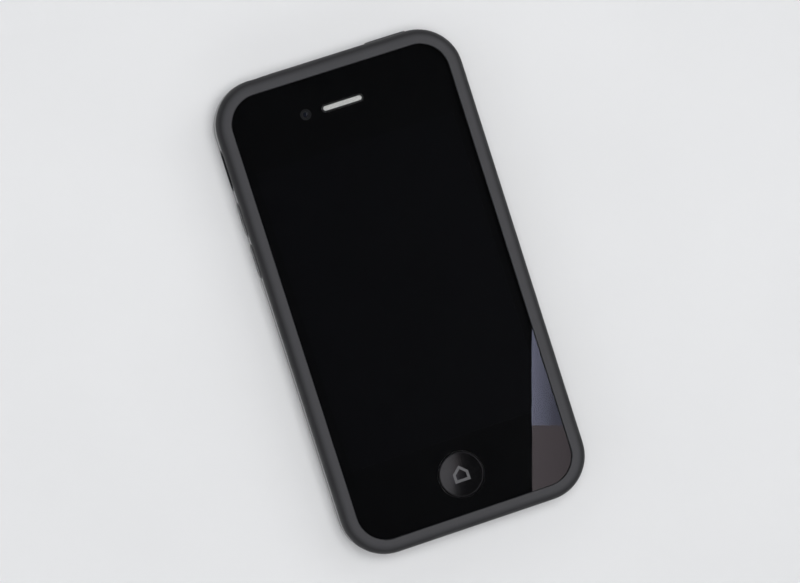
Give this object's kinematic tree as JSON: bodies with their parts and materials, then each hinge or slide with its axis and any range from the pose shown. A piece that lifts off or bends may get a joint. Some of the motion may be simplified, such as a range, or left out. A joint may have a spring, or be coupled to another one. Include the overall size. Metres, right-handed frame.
{
  "type": "handheld touch-screen organiser phone",
  "caption": "Pocket touch-screen organiser phone in a two-material bumper case, with glass front and rear, working side keys, card tray, sockets and the parts inside.",
  "frame": {"origin": "middle of the plane that the case's rear rim rests on, with the screen facing up", "axes": "+X to the right of the screen, +Y along the length towards the earpiece, +Z out of the screen"},
  "size_m": [0.0622, 0.1188, 0.0105],
  "materials": {
    "case_rubber": "soft matte flexible plastic, charcoal grey",
    "case_gloss": "hard dark inlay with a satin gloss",
    "case_keys": "dark anodised satin metal",
    "band_steel": "brushed steel, brushed along the band",
    "band_gap": "black plastic infill",
    "black_bezel": "black plastic rim",
    "front_glass": "polished cover glass, black ink behind it",
    "rear_glass": "polished cover glass, black ink behind it",
    "display": "liquid-crystal panel, switched off",
    "sheet_steel": "thin pressed steel",
    "mesh_steel": "woven steel wire",
    "module_black": "moulded black plastic",
    "home_key": "dished black plastic with a pale printed house outline",
    "seal_rubber": "thin black rubber",
    "key_steel": "satin steel",
    "signal_orange": "orange paint",
    "socket_black": "moulded black plastic",
    "contact_gold": "gold-plated contacts",
    "screw_steel": "machined steel",
    "lens_ring": "dark anodised ring",
    "lens_glass": "coated lens glass",
    "flash_lens": "milky lens over a yellow lamp",
    "board_green": "lacquered circuit board",
    "chip_black": "moulded chip packages",
    "battery_foil": "black wrapped pouch cell",
    "card_plastic": "white card",
    "flex_film": "amber flexible circuit film",
    "motor_steel": "turned steel"
  },
  "bodies": {
    "root": {"case_frame": "case_rubber", "case_band": "case_gloss", "antenna_band_bottom": "band_steel", "antenna_band_left": "band_steel", "antenna_band_right": "band_steel", "band_insulators": "band_gap", "front_bezel": "black_bezel", "front_glass": "front_glass", "display_panel": "display", "display_tray": "sheet_steel", "display_flex": "flex_film", "earpiece_mesh": "mesh_steel", "earpiece_speaker": "module_black", "front_camera": "module_black", "light_sensor": "module_black", "home_seal": "seal_rubber", "home_switch": "sheet_steel", "side_switches": "flex_film", "ring_switch_base": "module_black", "sleep_switch": "module_black", "headphone_jack": "socket_black", "top_microphone": "module_black", "dock_connector": "socket_black", "dock_contacts": "contact_gold", "loudspeaker": "module_black", "microphone": "module_black", "bottom_meshes": "mesh_steel", "edge_screws": "screw_steel", "rear_glass": "rear_glass", "rear_frame": "black_bezel", "camera_ring": "lens_ring", "camera_window": "lens_glass", "camera_module": "module_black", "flash_lamp": "flash_lens", "mid_plate": "sheet_steel", "logic_board": "board_green", "board_chips": "chip_black", "board_shields": "sheet_steel", "board_screws": "screw_steel", "battery": "battery_foil", "sim_reader": "sheet_steel", "vibration_motor": "motor_steel", "dock_flex": "flex_film"},
    "home_key": {"home_button": "home_key"},
    "volume_up_key": {"volume_up_cap": "case_keys", "volume_up_button": "key_steel"},
    "volume_down_key": {"volume_down_cap": "case_keys", "volume_down_button": "key_steel"},
    "sleep_key": {"sleep_cap": "case_keys", "sleep_button": "key_steel"},
    "ring_switch": {"ring_switch_tab": "key_steel", "ring_switch_carrier": "module_black", "silent_mark": "signal_orange"},
    "card_tray": {"sim_tray": "key_steel", "sim_card": "card_plastic"},
    "eject_lever": {"sim_lever": "key_steel"},
    "eject_rod": {"sim_push_rod": "key_steel"},
    "motor_rotor": {"motor_shaft": "motor_steel", "motor_weight": "motor_steel"},
    "focus_barrel": {"camera_barrel": "module_black"}
  },
  "joints": [
    {"name": "home_press", "type": "slide", "parent": "root", "child": "home_key", "axis": [0, 0, -1], "range_m": [0, 0.00035]},
    {"name": "volume_up_press", "type": "slide", "parent": "root", "child": "volume_up_key", "axis": [1, 0, 0], "range_m": [0, 0.0004]},
    {"name": "volume_down_press", "type": "slide", "parent": "root", "child": "volume_down_key", "axis": [1, 0, 0], "range_m": [0, 0.0004]},
    {"name": "sleep_press", "type": "slide", "parent": "root", "child": "sleep_key", "axis": [0, -1, 0], "range_m": [0, 0.0004]},
    {"name": "ring_switch_slide", "type": "slide", "parent": "root", "child": "ring_switch", "axis": [0, 0, -1], "range_m": [0, 0.0012]},
    {"name": "card_tray_slide", "type": "slide", "parent": "root", "child": "card_tray", "axis": [1, 0, 0], "range_m": [0, 0.022]},
    {"name": "eject_lever_pivot", "type": "hinge", "parent": "root", "child": "eject_lever", "pos_m": [0.0075, -0.0026, 0.00525], "axis": [0, 0, -1], "range_deg": [0, 12]},
    {"name": "eject_rod_slide", "type": "slide", "parent": "root", "child": "eject_rod", "axis": [-1, 0, 0], "range_m": [0, 0.00072]},
    {"name": "motor_spin", "type": "hinge", "parent": "root", "child": "motor_rotor", "pos_m": [-0.003, 0.05, 0.0042], "axis": [1, 0, 0], "continuous": true},
    {"name": "camera_focus", "type": "slide", "parent": "root", "child": "focus_barrel", "axis": [0, 0, -1], "range_m": [0, 0.00025]}
  ],
  "couplings": [
    {"joint": "eject_lever_pivot", "follows": "eject_rod_slide", "rad_per_m": 289.86}
  ]
}
